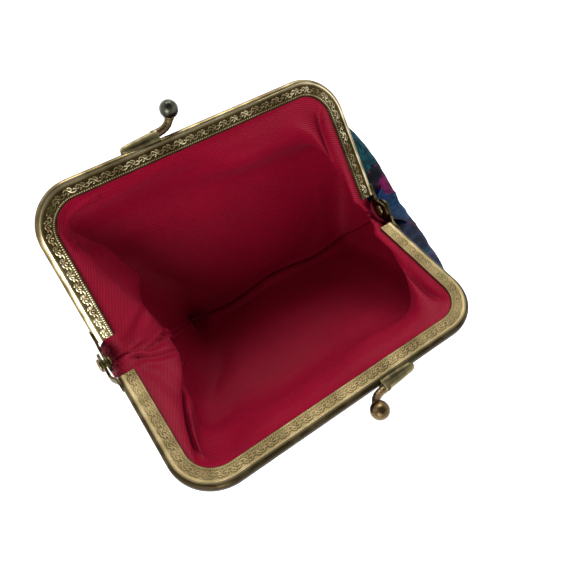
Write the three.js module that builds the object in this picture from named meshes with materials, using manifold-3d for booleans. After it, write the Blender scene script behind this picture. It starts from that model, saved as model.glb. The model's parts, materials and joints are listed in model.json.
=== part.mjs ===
// A coin purse with a kiss-lock frame, standing on its base with its mouth wide open.
// Millimetres, +Z up. X runs along the hinge axis, -Y is the front and +Y the rear.
// The origin is on the underside of the bag, straight below the middle of the hinge axis.

import Module from 'manifold-3d';
import * as THREE from 'three';
import { mergeVertices } from 'three/addons/utils/BufferGeometryUtils.js';

const wasm = await Module();
wasm.setup();

// ---- driving dimensions ----

// The metal frame. Each half is a U of folded channel, described closed and upright:
// x along the hinge, y away from the other half, z up from the hinge axis.
const FRAME_WIDTH = 75;
const BAND_WIDTH = 4;
const INNER_HALF_WIDTH = FRAME_WIDTH / 2 - BAND_WIDTH;
const INNER_HEIGHT = 32.8;
const INNER_CORNER_RADIUS = 6.2;
const ARM_START = 4.5;
const SHEET = 0.5;
const CHANNEL_DEPTH = 2.5;
const MATING_GAP = 0.15;
const RIDGE_RADIUS = 0.9;
const CHANNEL_MIDDLE = MATING_GAP + CHANNEL_DEPTH / 2;
const RIDGE_TOP = INNER_HEIGHT + BAND_WIDTH;
const CORNER_STEPS = 7;

// How far each half leans out from upright when the purse is open.
const OPEN_ANGLE = THREE.MathUtils.degToRad(65.15);
const HINGE_HEIGHT = 38;

// The hinges: a disc on each arm end, and a rivet through each pair of discs.
const EAR_RADIUS = 2.5;
const EAR_THICKNESS = 0.6;
const INNER_EAR_X = 37.3;
const OUTER_EAR_X = 38.2;
const EAR_TONGUE_TOP = 7;
const EAR_JOGGLE_START = 5;
const EAR_HOLE_RADIUS = 1;
const RIVET_RADIUS = 0.9;
const RIVET_INNER_HEAD = { radius: 1.4, from: 36.6, to: 37.2 };
const RIVET_OUTER_HEAD = { radius: 1.6, from: 38.9, to: 39.6 };
const HINGE_SIDES = 24;

// The clasp: a tapered sleeve on the ridge, a bent stem out of its wide end, and a ball.
const CLASP_GAP = 0.15;
const SLEEVE_NARROW = { x: -15, halfWidth: 0.8, height: 1.1 };
const SLEEVE_WIDE = { x: -6.3, halfWidth: 1.15, height: 2.1 };
const SLEEVE_STEPS = 4;
const BALL_RADIUS = 2;
const BALL_CENTRE = new THREE.Vector3(-2.05, 0, 41.35);
const STEM_RADIUS = 0.85;
const STEM_HEIGHT = 1.15;

// The twine that wedges the cloth into the channel.
const PACKING_RADIUS = 0.5;
const PACKING_DEPTH = 2;
const PACKING_START = ARM_START + 0.6;

// The bag: outlines of its outside, one per height. The cloth leans to the right below the hinge.
const BAG_OUTLINES = [
  { height: 0, left: -14, right: 38, front: -6, rear: 5, squareness: 3 },
  { height: 5, left: -17, right: 42.5, front: -10.5, rear: 11, squareness: 3 },
  { height: 12, left: -22, right: 46, front: -17.5, rear: 18.5, squareness: 3.2 },
  { height: 20, left: -27.5, right: 48, front: -23.5, rear: 24.5, squareness: 3.6 },
  { height: 29, left: -33, right: 48, front: -28.5, rear: 29, squareness: 4.2 },
  { height: 37, left: -36, right: 45, front: -31.3, rear: 31.3, squareness: 5 },
  { height: 44, left: -37, right: 40, front: -32.3, rear: 32.3, squareness: 6 },
  { height: 52, left: -37, right: 37.5, front: -32.5, rear: 32.5, squareness: 6 },
];
const BAG_SIDES = 40;
const CLOTH = 0.5;
const CLOTH_GAP = 0.3;
const MOUTH_CLEARANCE = MATING_GAP + CHANNEL_DEPTH + 0.35;
const SEAM_GAP = 0.3;
const SEAM_BASE_Y = 3.65;
const FAR = 70;

// ---- materials ----

function metal(name, color, roughness) {
  return new THREE.MeshStandardMaterial({ name, color, roughness, metalness: 1 });
}

function cloth(name, color, roughness) {
  return new THREE.MeshStandardMaterial({ name, color, roughness, metalness: 0 });
}

const agedBrass = metal('aged_brass', 0x9c8a5c, 0.38);
const darkBrass = metal('dark_brass', 0x6f6040, 0.4);
const claspBrass = metal('clasp_brass', 0x8a7a3c, 0.42);
const stemBronze = metal('stem_bronze', 0x5f5034, 0.42);
const ballBronze = metal('ball_bronze', 0x35332c, 0.28);
const rivetBrass = metal('rivet_brass', 0x7d6e48, 0.4);
const printedSatin = cloth('printed_satin', 0x12203f, 0.5);
const crimsonTwill = cloth('crimson_twill', 0x9a1238, 0.6);
const paperTwine = cloth('paper_twine', 0xb09a72, 0.9);

// ---- geometry helpers ----

// Six times the signed volume of a closed triangle mesh.
function signedVolume(positions, triangles) {
  const corner = [new THREE.Vector3(), new THREE.Vector3(), new THREE.Vector3()];
  let sum = 0;
  for (let t = 0; t < triangles.length; t += 3) {
    corner.forEach((c, k) => c.fromArray(positions, 3 * triangles[t + k]));
    sum += corner[0].dot(corner[1].clone().cross(corner[2]));
  }
  return sum;
}

// A closed body through a row of sections, each a ring of points, capped at both ends.
function skin(sections, capShape) {
  const sides = sections[0].length;
  const positions = sections.flat().flatMap((p) => p.toArray());
  const triangles = [];
  for (let s = 0; s + 1 < sections.length; s++) {
    for (let k = 0; k < sides; k++) {
      const next = (k + 1) % sides;
      const here = s * sides;
      const there = here + sides;
      triangles.push(here + k, here + next, there + next);
      triangles.push(here + k, there + next, there + k);
    }
  }
  const last = (sections.length - 1) * sides;
  const firstCap = THREE.ShapeUtils.triangulateShape(capShape, []);
  const turned = THREE.ShapeUtils.isClockWise(capShape) ? -1 : 1;
  for (const [a, b, c] of firstCap) {
    const [p, q] = turned > 0 ? [b, c] : [c, b];
    triangles.push(a, q, p);
    triangles.push(last + a, last + p, last + q);
  }
  if (signedVolume(positions, triangles) < 0) {
    triangles.reverse();
  }
  const geometry = new THREE.BufferGeometry();
  geometry.setAttribute('position', new THREE.Float32BufferAttribute(positions, 3));
  geometry.setIndex(triangles);
  return geometry;
}

function toSolid(geometry) {
  const bare = geometry.clone();
  bare.deleteAttribute('normal');
  bare.deleteAttribute('uv');
  const merged = mergeVertices(bare, 1e-5);
  return new wasm.Manifold(new wasm.Mesh({
    numProp: 3,
    vertProperties: new Float32Array(merged.attributes.position.array),
    triVerts: new Uint32Array(merged.index.array),
  }));
}

function toGeometry(solid) {
  const mesh = solid.getMesh();
  const geometry = new THREE.BufferGeometry();
  geometry.setAttribute('position', new THREE.BufferAttribute(mesh.vertProperties, 3));
  geometry.setIndex(new THREE.BufferAttribute(mesh.triVerts, 1));
  return geometry;
}

// A box between two corners.
function block(low, high) {
  const size = high.map((h, axis) => h - low[axis]);
  const middle = high.map((h, axis) => (h + low[axis]) / 2);
  return new THREE.BoxGeometry(...size).translate(...middle);
}

// A straight bar along X whose section is a polygon of [y, z] points.
function barAlongX(outline) {
  const section = outline.map(([y, z]) => new THREE.Vector2(y, z));
  const rings = [-FAR, FAR].map((x) => section.map((p) => new THREE.Vector3(x, p.x, p.y)));
  return skin(rings, section);
}

// ---- the frame ----

// Stations along the inner edge of a half's U, each with its place and its outward direction.
function innerEdge(start) {
  const reach = INNER_HALF_WIDTH - INNER_CORNER_RADIUS;
  const rise = INNER_HEIGHT - INNER_CORNER_RADIUS;
  const stations = [{ x: -INNER_HALF_WIDTH, z: start, out: Math.PI }];
  for (const side of [-1, 1]) {
    for (let step = 0; step <= CORNER_STEPS; step++) {
      const turn = (Math.PI / 2) * (step / CORNER_STEPS);
      const out = side < 0 ? Math.PI - turn : Math.PI / 2 - turn;
      stations.push({
        x: side * reach + INNER_CORNER_RADIUS * Math.cos(out),
        z: rise + INNER_CORNER_RADIUS * Math.sin(out),
        out,
      });
    }
  }
  stations.push({ x: INNER_HALF_WIDTH, z: start, out: 0 });
  return stations;
}

// Sweeps a section of points (x out from the inner edge, y away from the other half) round the U.
function sweepRoundFrame(section, start) {
  const rings = innerEdge(start).map(({ x, z, out }) => section.map(
    (p) => new THREE.Vector3(x + p.x * Math.cos(out), p.y, z + p.x * Math.sin(out)),
  ));
  return skin(rings, section);
}

// The folded channel's section: two flanges joined by a rounded ridge, open towards the bag.
function channelSection() {
  const near = MATING_GAP;
  const far = MATING_GAP + CHANNEL_DEPTH;
  const bend = BAND_WIDTH - RIDGE_RADIUS;
  const inside = RIDGE_RADIUS - SHEET;
  const shape = new THREE.Shape();
  shape.moveTo(0, near);
  shape.lineTo(bend, near);
  shape.absarc(bend, near + RIDGE_RADIUS, RIDGE_RADIUS, -Math.PI / 2, 0);
  shape.absarc(bend, far - RIDGE_RADIUS, RIDGE_RADIUS, 0, Math.PI / 2);
  shape.lineTo(0, far);
  shape.lineTo(0, far - SHEET);
  shape.lineTo(bend, far - SHEET);
  shape.absarc(bend, far - RIDGE_RADIUS, inside, Math.PI / 2, 0, true);
  shape.absarc(bend, near + RIDGE_RADIUS, inside, 0, -Math.PI / 2, true);
  shape.lineTo(0, near + SHEET);
  const ridgeSteps = 3;
  return withoutRepeats(shape.getPoints(ridgeSteps));
}

function withoutRepeats(points) {
  const same = 1e-6;
  return points.filter((p, k) => p.distanceTo(points[(k + 1) % points.length]) > same);
}

function disc(radius, from, to) {
  return new THREE.CylinderGeometry(radius, radius, to - from, HINGE_SIDES)
    .rotateZ(Math.PI / 2)
    .translate((from + to) / 2, 0, 0);
}

// A frame half whose hinge discs start earX out from the middle of the purse.
function frameHalf(earX) {
  let half = toSolid(sweepRoundFrame(channelSection(), ARM_START));
  const far = MATING_GAP + CHANNEL_DEPTH;
  const foldX = FRAME_WIDTH / 2 - SHEET / 2;
  const earEnd = earX + EAR_THICKNESS;
  for (const side of [-1, 1]) {
    const mirror = side < 0 ? Math.PI : 0;
    const across = ([low, high]) => (side < 0 ? [-high, -low] : [low, high]);
    const plate = (from, to, bottom) => {
      const [lowX, highX] = across([from, to]);
      return toSolid(block([lowX, MATING_GAP, bottom], [highX, far, EAR_TONGUE_TOP]));
    };
    half = half.add(toSolid(disc(EAR_RADIUS, earX, earEnd).rotateZ(mirror)));
    half = half.add(plate(earX, earEnd, 0));
    half = half.add(plate(foldX, earEnd, EAR_JOGGLE_START));
    half = half.subtract(toSolid(disc(EAR_HOLE_RADIUS, earX - 1, earEnd + 1).rotateZ(mirror)));
  }
  return toGeometry(half);
}

// A rivet along +X: a pin with a low inner head and a domed outer head.
function rivet() {
  const inner = RIVET_INNER_HEAD;
  const outer = RIVET_OUTER_HEAD;
  const rim = 0.3;
  const profile = [
    [0, inner.from],
    [inner.radius - rim, inner.from],
    [inner.radius, inner.from + rim],
    [inner.radius, inner.to],
    [RIVET_RADIUS, inner.to],
    [RIVET_RADIUS, outer.from],
    [outer.radius, outer.from],
    [outer.radius * 0.92, outer.from + rim],
    [outer.radius * 0.6, outer.to - 0.1],
    [0, outer.to],
  ].map(([radius, along]) => new THREE.Vector2(radius, along));
  return new THREE.LatheGeometry(profile, HINGE_SIDES).rotateZ(-Math.PI / 2);
}

// ---- the clasp, on a half's top bar, left of the middle ----

function claspSleeve() {
  const archSteps = 8;
  const foot = RIDGE_TOP + CLASP_GAP;
  const arch = Array.from({ length: archSteps + 1 }, (_, k) => (Math.PI * k) / archSteps);
  const sectionAt = (share) => {
    const halfWidth = THREE.MathUtils.lerp(SLEEVE_NARROW.halfWidth, SLEEVE_WIDE.halfWidth, share);
    const height = THREE.MathUtils.lerp(SLEEVE_NARROW.height, SLEEVE_WIDE.height, share);
    return arch.map((a) => new THREE.Vector2(halfWidth * Math.cos(a), height * Math.sin(a)));
  };
  const rings = Array.from({ length: SLEEVE_STEPS + 1 }, (_, k) => {
    const share = k / SLEEVE_STEPS;
    const x = THREE.MathUtils.lerp(SLEEVE_NARROW.x, SLEEVE_WIDE.x, share);
    return sectionAt(share).map((p) => new THREE.Vector3(x, CHANNEL_MIDDLE + p.x, foot + p.y));
  });
  return skin(rings, sectionAt(0));
}

// The stem leaves the sleeve along the ridge, then bends up and over to the ball.
function claspStem() {
  const root = new THREE.Vector3(SLEEVE_WIDE.x + CLASP_GAP, CHANNEL_MIDDLE, RIDGE_TOP + STEM_HEIGHT);
  const bend = new THREE.Vector3(-3.3, 1.25, RIDGE_TOP + 1.3);
  const arrival = BALL_CENTRE.clone().sub(bend).normalize();
  const tip = BALL_CENTRE.clone().addScaledVector(arrival, -(BALL_RADIUS + CLASP_GAP));
  const path = new THREE.QuadraticBezierCurve3(root, bend, tip);
  const sides = 10;
  const circle = new THREE.Shape().absarc(0, 0, STEM_RADIUS, 0, 2 * Math.PI);
  const round = new THREE.Shape(withoutRepeats(circle.getPoints(sides)));
  return new THREE.ExtrudeGeometry(round, { steps: 6, extrudePath: path });
}

function claspBall() {
  return new THREE.SphereGeometry(BALL_RADIUS, 20, 12).translate(...BALL_CENTRE.toArray());
}

function packingCord() {
  const sides = 8;
  const section = Array.from({ length: sides }, (_, k) => {
    const a = (2 * Math.PI * k) / sides;
    return new THREE.Vector2(
      PACKING_DEPTH + PACKING_RADIUS * Math.cos(a),
      CHANNEL_MIDDLE + PACKING_RADIUS * Math.sin(a),
    );
  });
  return sweepRoundFrame(section, PACKING_START);
}

// ---- the bag ----

// The bag's outline at a height, from the two nearest outlines of the table.
function outlineAt(height) {
  const above = Math.max(1, BAG_OUTLINES.findIndex((o) => o.height >= height));
  const [low, high] = [BAG_OUTLINES[above - 1], BAG_OUTLINES[above]];
  const share = (height - low.height) / (high.height - low.height);
  const mixed = Object.keys(low).map((key) => [key, THREE.MathUtils.lerp(low[key], high[key], share)]);
  return Object.fromEntries(mixed);
}

// A rounded rectangle from -1 to 1 each way: squareness 2 is a circle, and more is squarer.
function roundedSquare(squareness) {
  const rounded = (v) => Math.sign(v) * Math.abs(v) ** (2 / squareness);
  return Array.from({ length: BAG_SIDES }, (_, k) => {
    const a = (2 * Math.PI * k) / BAG_SIDES;
    return new THREE.Vector2(rounded(Math.cos(a)), rounded(Math.sin(a)));
  });
}

// The closed body that the bag fills up to above its mouth, drawn in by an inset all round.
function bagBody(inset) {
  const rings = BAG_OUTLINES.map((o) => outlineAt(Math.max(o.height, inset))).map((o) => {
    const halfX = (o.right - o.left) / 2 - inset;
    const halfY = (o.rear - o.front) / 2 - inset;
    return roundedSquare(o.squareness).map((p) => new THREE.Vector3(
      (o.right + o.left) / 2 + halfX * p.x,
      (o.rear + o.front) / 2 + halfY * p.y,
      o.height,
    ));
  });
  return toSolid(skin(rings, roundedSquare(BAG_OUTLINES[0].squareness)));
}

// Everything above the undersides of the two open frame halves.
function aboveMouth() {
  const apex = HINGE_HEIGHT - MOUTH_CLEARANCE / Math.sin(OPEN_ANGLE);
  const rise = FAR / Math.tan(OPEN_ANGLE);
  const top = 2 * FAR;
  return toSolid(barAlongX([[0, apex], [FAR, apex + rise], [FAR, top], [-FAR, top], [-FAR, apex + rise]]));
}

// The front and rear panels of one layer of cloth.
function layer(inset) {
  const bag = bagBody(inset).subtract(bagBody(inset + CLOTH)).subtract(aboveMouth());
  // Each panel is what lies on its side of the seam, which runs from under the hinge axis to the
  // rear edge of the base.
  const half = (side) => {
    const edge = (side * SEAM_GAP) / 2;
    const besideSeam = barAlongX([
      [SEAM_BASE_Y + edge, -1],
      [edge, HINGE_HEIGHT],
      [edge, FAR],
      [side * FAR, FAR],
      [side * FAR, -1],
    ]);
    return toGeometry(bag.intersect(toSolid(besideSeam)));
  };
  return { front: half(-1), rear: half(1) };
}

// ---- the assembly ----

function part(name, geometry, material) {
  const mesh = new THREE.Mesh(geometry, material);
  mesh.name = name;
  return mesh;
}

// One half of the purse's metalwork, opened about the hinge axis. The front half is the rear half
// turned half a turn about the vertical, apart from its hinge discs.
function metalHalf(name, side, earX, brass) {
  const closed = new THREE.Group();
  closed.rotation.z = side < 0 ? Math.PI : 0;
  closed.add(
    part(`${name}_frame`, frameHalf(earX), brass),
    part(`${name}_clasp_base`, claspSleeve(), claspBrass),
    part(`${name}_clasp_stem`, claspStem(), stemBronze),
    part(`${name}_clasp_ball`, claspBall(), ballBronze),
    part(`${name}_packing_cord`, packingCord(), paperTwine),
  );
  const opened = new THREE.Group();
  opened.position.z = HINGE_HEIGHT;
  opened.rotation.x = -side * OPEN_ANGLE;
  opened.add(closed);
  return opened;
}

function rivets() {
  const pair = new THREE.Group();
  pair.position.z = HINGE_HEIGHT;
  const right = part('right_rivet', rivet(), rivetBrass);
  const left = part('left_rivet', rivet(), rivetBrass);
  left.rotation.z = Math.PI;
  pair.add(right, left);
  return pair;
}

function bag() {
  const outer = layer(0);
  const lining = layer(CLOTH + CLOTH_GAP);
  const pouch = new THREE.Group();
  pouch.add(
    part('outer_front_panel', outer.front, printedSatin),
    part('outer_rear_panel', outer.rear, printedSatin),
    part('lining_front_panel', lining.front, crimsonTwill),
    part('lining_rear_panel', lining.rear, crimsonTwill),
  );
  return pouch;
}

const group = new THREE.Group();
group.add(
  metalHalf('front', -1, OUTER_EAR_X, agedBrass),
  metalHalf('rear', 1, INNER_EAR_X, darkBrass),
  rivets(),
  bag(),
);

export default group;
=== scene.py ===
"""The looks of a coin purse with a kiss-lock frame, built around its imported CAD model.

Lengths are millimetres in the code and become metres when a mesh is made. The purse stands on
its base with the mouth open: X runs along the hinge axis, -Y is the front, +Y the rear, Z is up.
Cloth is laid out about the hinge axis, so its heights count from there.
"""

import json
import math
from contextlib import contextmanager

import bmesh
import bpy
import numpy as np
from mathutils import Matrix, Vector


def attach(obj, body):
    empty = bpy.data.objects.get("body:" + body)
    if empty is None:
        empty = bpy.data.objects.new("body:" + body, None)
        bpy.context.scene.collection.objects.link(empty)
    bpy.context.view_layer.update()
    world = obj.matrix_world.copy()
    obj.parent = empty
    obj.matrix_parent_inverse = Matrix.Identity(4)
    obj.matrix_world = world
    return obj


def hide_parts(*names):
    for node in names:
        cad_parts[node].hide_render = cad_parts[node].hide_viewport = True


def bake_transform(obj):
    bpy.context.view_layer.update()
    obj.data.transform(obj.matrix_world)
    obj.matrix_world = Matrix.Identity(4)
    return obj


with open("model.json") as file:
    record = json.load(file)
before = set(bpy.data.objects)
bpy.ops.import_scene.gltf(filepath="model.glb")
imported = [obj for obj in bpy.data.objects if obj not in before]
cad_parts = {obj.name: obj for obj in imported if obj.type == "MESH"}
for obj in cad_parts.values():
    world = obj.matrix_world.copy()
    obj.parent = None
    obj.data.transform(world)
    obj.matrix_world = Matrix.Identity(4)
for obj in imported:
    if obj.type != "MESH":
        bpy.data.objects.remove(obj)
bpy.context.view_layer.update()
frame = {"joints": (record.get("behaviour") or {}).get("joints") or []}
MM = 0.001
TURN = 2 * math.pi

FRONT, REAR = -1, 1
SIDES = {"front": FRONT, "rear": REAR}

# ---- sizes of the metal frame, the same as the CAD model's ----

SWING = next(joint for joint in frame["joints"] if joint["name"] == "front_swing")
OPEN = math.radians(SWING["range_deg"][1])
HINGE_Z = SWING["pos_m"][2] / MM
BAND = 4.0
HALF_WIDTH = 33.5
TOP = 32.8
CORNER = 6.2
REACH, RISE = HALF_WIDTH - CORNER, TOP - CORNER
ARM_START = 4.5
DEPTH = 2.5
NEAR = 0.15
FAR = NEAR + DEPTH
SHEET = 0.5
RIDGE = 0.9
MIDDLE = NEAR + DEPTH / 2
RIDGE_TOP = TOP + BAND
EAR_RADIUS = 2.5
EAR_THICKNESS = 0.6
EAR_X = {"front": 38.2, "rear": 37.3}
BALL_RADIUS = 2.0
BALL_CENTRE = np.array([-2.05, 0.0, 41.35])


# ---- helpers ----

def smooth(t):
    """0 below 0, 1 above 1, and an even S between."""
    t = np.clip(t, 0.0, 1.0)
    return t * t * (3 - 2 * t)


def ease(v, start, full):
    """A number that eases from 0 at start to 1 at full."""
    return float(smooth((v - start) / (full - start)))


def hump(v, start, full, less, end):
    """Rises from 0 to 1 between start and full, and falls again between less and end."""
    return ease(v, start, full) * ease(v, end, less)


def mixed(a, b, share):
    """From a to b by a share."""
    return a + (b - a) * share


def bell(x, middle, width):
    """1 at the middle, falling away evenly on both sides."""
    return np.exp(-(((x - middle) / width) ** 2))


def curve(x, xs, ys):
    """The smooth curve through (xs, ys), read at x. ys may hold numbers or points."""
    xs, ys = np.asarray(xs, float), np.asarray(ys, float)
    if xs[0] > xs[-1]:
        xs, ys = xs[::-1], ys[::-1]
    flat = ys.ndim == 1
    if flat:
        ys = ys[:, None]
    step = np.diff(xs)[:, None]
    slope = np.diff(ys, axis=0) / step
    tangent = np.vstack([slope[:1], slope, slope[-1:]])
    width = np.vstack([step[:1], step, step[-1:]])
    tangent = (tangent[:-1] * width[1:] + tangent[1:] * width[:-1]) / (width[:-1] + width[1:])
    x = np.clip(np.atleast_1d(np.asarray(x, float)), xs[0], xs[-1])
    k = np.clip(np.searchsorted(xs, x, side="right") - 1, 0, len(xs) - 2)
    h = step[k]
    t = ((x - xs[k]) / h[:, 0])[:, None]
    out = (
        (1 + 2 * t) * (1 - t) ** 2 * ys[k]
        + t * (1 - t) ** 2 * h * tangent[k]
        + t * t * (3 - 2 * t) * ys[k + 1]
        + t * t * (t - 1) * h * tangent[k + 1]
    )
    return out[:, 0] if flat else out


def lengths(path, spare=0.0):
    """How far along a path of points each point lies. A spare length may be added to each step."""
    steps = np.linalg.norm(np.diff(path, axis=0), axis=-1) + spare
    return np.concatenate([0 * steps[:1], np.cumsum(steps, axis=0)])


def value_noise(points, size, seed):
    """Smooth noise from -1 to 1 on points, with features about size across."""
    p = np.asarray(points, float) / size
    cell = np.floor(p).astype(np.int64)
    part = smooth(p - cell)

    def corner(offset):
        q = cell + np.array(offset)
        key = q[..., 0] * 73856093 ^ q[..., 1] * 19349663 ^ seed * 83492791
        if p.shape[-1] == 3:
            key = key ^ q[..., 2] * 49979687
        key = (key ^ (key >> 13)) * 1274126177 & 0x7FFFFFFF
        return ((key ^ (key >> 16)) & 0xFFFF) / 32767.5 - 1

    offsets = np.ndindex((2,) * p.shape[-1])
    return sum(np.prod(np.where(at, part, 1 - part), axis=-1) * corner(at) for at in offsets)


def patches(a, b, size, seed):
    """Smooth noise over a surface with the coordinates a and b."""
    return value_noise(np.stack(np.broadcast_arrays(a, b), -1), size, seed)


def placed(points, side):
    """Points of a closed, upright rear half, as they lie on the open half of that side."""
    p = np.array(points, float).reshape(-1, 3)
    if side == FRONT:
        p[:, :2] *= -1
    a = -side * OPEN
    y, z = p[:, 1].copy(), p[:, 2].copy()
    p[:, 1] = y * math.cos(a) - z * math.sin(a)
    p[:, 2] = y * math.sin(a) + z * math.cos(a) + HINGE_Z
    return p


@contextmanager
def edited(obj):
    """Opens an object's mesh for editing. At the end its faces are turned outwards."""
    bm = bmesh.new()
    bm.from_mesh(obj.data)
    yield bm
    bmesh.ops.recalc_face_normals(bm, faces=bm.faces)
    bm.to_mesh(obj.data)
    bm.free()


def taken(bm):
    """The points and faces of a mesh that was open for editing, which is then put away."""
    bm.verts.index_update()
    points = np.array([v.co for v in bm.verts])
    faces = [[v.index for v in f.verts] for f in bm.faces]
    bm.free()
    return points, faces


def weld(obj):
    """Merges points that coincide, and drops the faces that this closes up."""
    with edited(obj) as bm:
        bmesh.ops.remove_doubles(bm, verts=bm.verts, dist=2e-7)
        bmesh.ops.dissolve_degenerate(bm, edges=bm.edges, dist=1e-7)


def thicken(obj, thickness, outward):
    """Gives a sheet of the bag its thickness in mm, away from the bag's middle or towards it."""
    middle = Vector((0.008, 0.0, 0.026))
    facing = sum(p.normal.dot(p.center - middle) * p.area for p in obj.data.polygons)
    solid = obj.modifiers.new("thickness", "SOLIDIFY")
    solid.thickness = thickness * MM
    solid.offset = 1.0 if outward == (facing > 0) else -1.0
    mesh = evaluated(obj)
    obj.modifiers.clear()
    obj.data = mesh


def linked(name, data):
    """A new object in the scene."""
    obj = bpy.data.objects.new(name, data)
    bpy.context.scene.collection.objects.link(obj)
    return obj


def new_object(name, points, faces, material):
    """A smooth piece from points in mm."""
    mesh = bpy.data.meshes.new(name)
    mesh.from_pydata((np.asarray(points) * MM).tolist(), [], faces)
    mesh.validate()
    mesh.materials.append(material)
    obj = linked(name, mesh)
    with edited(obj) as bm:
        for face in bm.faces:
            face.smooth = True
    return obj


def set_attribute(obj, name, values):
    values = np.asarray(values, np.float32)
    kind, field = ("FLOAT", "value") if values.ndim == 1 else ("FLOAT_VECTOR", "vector")
    obj.data.attributes.new(name, kind, "POINT").data.foreach_set(field, values.ravel())


def grid_faces(rows, cols, wrap_rows=False, wrap_cols=False):
    """Quads of a grid of points, joined round in either direction if asked."""
    index = np.arange(rows * cols).reshape(rows, cols)
    if wrap_rows:
        index = np.vstack([index, index[:1]])
    if wrap_cols:
        index = np.hstack([index, index[:, :1]])
    quads = np.stack([index[:-1, :-1], index[:-1, 1:], index[1:, 1:], index[1:, :-1]], -1)
    return quads.reshape(-1, 4).tolist()


def tube_faces(rings, sides):
    """Faces of a row of closed rings of points, capped at both ends."""
    caps = [list(range(sides))[::-1], list(range((rings - 1) * sides, rings * sides))]
    return grid_faces(rings, sides, wrap_cols=True) + caps


def evaluated(obj):
    """The mesh of an object with its modifiers or its curve's filling worked out."""
    bpy.context.view_layer.update()
    graph = bpy.context.evaluated_depsgraph_get()
    return bpy.data.meshes.new_from_object(obj.evaluated_get(graph), depsgraph=graph)


# ---- materials ----

class Shader:
    """A material's node tree, with short ways to add to it."""

    def __init__(self, name, **sockets):
        self.material = bpy.data.materials.new(name)
        self.material.use_nodes = True
        self.tree = self.material.node_tree
        self.bsdf = self.tree.nodes["Principled BSDF"]
        for key, value in sockets.items():
            self.bsdf.inputs[key.replace("_", " ")].default_value = value

    def node(self, kind, inputs=None, **settings):
        node = self.tree.nodes.new(kind)
        for key, value in settings.items():
            setattr(node, key, value)
        for key, value in (inputs or {}).items():
            self.set(node.inputs[key], value)
        return node

    def set(self, socket, value):
        if isinstance(value, bpy.types.NodeSocket):
            self.tree.links.new(value, socket)
        else:
            socket.default_value = value

    def out(self, key, value):
        self.set(self.bsdf.inputs[key], value)

    def attribute(self, name, output="Fac"):
        return self.node("ShaderNodeAttribute", attribute_name=name).outputs[output]

    def math(self, operation, a, b=0.0, c=0.0):
        return self.node("ShaderNodeMath", {0: a, 1: b, 2: c}, operation=operation).outputs[0]

    def noise(self, vector, scale, detail=3.0, roughness=0.55, distortion=0.0):
        node = self.node("ShaderNodeTexNoise", {
            "Vector": vector, "Scale": scale, "Detail": detail, "Roughness": roughness,
            "Distortion": distortion,
        })
        return node.outputs["Fac"]

    def scaled(self, vector, scale, move=(0, 0, 0)):
        return self.node("ShaderNodeMapping", {
            "Vector": vector, "Scale": scale, "Location": move,
        }).outputs[0]

    def axis(self, vector, index):
        return self.node("ShaderNodeSeparateXYZ", {0: vector}).outputs[index]

    def wave(self, phase):
        """A sine wave from 0 to 1."""
        return self.math("MULTIPLY_ADD", self.math("SINE", phase), 0.5, 0.5)

    def ramp(self, value, *stops):
        node = self.node("ShaderNodeValToRGB", {0: value})
        ramp = node.color_ramp
        for _ in range(len(stops) - 2):
            ramp.elements.new(0.5)
        for element, (place, colour) in zip(ramp.elements, stops):
            element.position = place
            element.color = colour if hasattr(colour, "__len__") else (colour,) * 3 + (1,)
        return node.outputs[0]

    def mix(self, share, a, b, blend="MIX"):
        node = self.node("ShaderNodeMix", data_type="RGBA", blend_type=blend)
        self.set(node.inputs[0], share)
        self.set(node.inputs[6], a)
        self.set(node.inputs[7], b)
        return node.outputs[2]

    def bump(self, height, strength, distance):
        """Roughens the surface by a height, in metres."""
        self.out("Normal", self.node("ShaderNodeBump", {
            "Height": height, "Strength": strength, "Distance": distance,
        }).outputs[0])


def srgb(r, g, b):
    """A colour from its 0 to 255 screen values."""
    def linear(c):
        c /= 255
        return c / 12.92 if c <= 0.04045 else ((c + 0.055) / 1.055) ** 2.4
    return (linear(r), linear(g), linear(b), 1.0)


def brass(name, colours, roughness, mottle=0.35, toned=True):
    """Aged brass, from its patina's dark to its light wear by the mesh's tone, if it has one. The
    tone also carries painted shade and painted highlights, which the colour follows.
    """
    s = Shader(name, Metallic=1.0)
    dark, mid, light, wear_and_highlight = (srgb(*colour) for colour in colours)
    place = s.node("ShaderNodeTexCoord").outputs["Object"]
    broad = s.noise(place, 260.0, 4.0, 0.6)
    fine = s.noise(place, 2200.0, 3.0, 0.6)
    tone = s.attribute("tone") if toned else s.noise(place, 420.0)
    shift = s.math("MULTIPLY_ADD", broad, mottle, -mottle / 2)
    tone = s.math("ADD", tone, shift)
    tone = s.math("ADD", tone, s.math("MULTIPLY_ADD", fine, 0.16, -0.08))
    colour = s.ramp(tone, (0.0, dark), (0.38, mid), (0.68, light), (1.0, wear_and_highlight))
    green = s.ramp(s.noise(place, 380.0, 2.0), (0.55, 0.0), (0.75, 0.35))
    colour = s.mix(green, colour, s.mix(0.6, colour, srgb(88, 104, 62)))
    s.out("Base Color", colour)
    low, high = roughness
    s.out("Roughness", s.ramp(tone, (0.0, high), (0.6, (low + high) / 2), (1.0, low)))
    scratches = s.noise(s.scaled(place, (900.0, 5200.0, 5200.0)), 1.0, 2.0)
    s.bump(s.mix(0.5, fine, scratches), 0.12, 0.00006)
    return s.material


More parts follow.
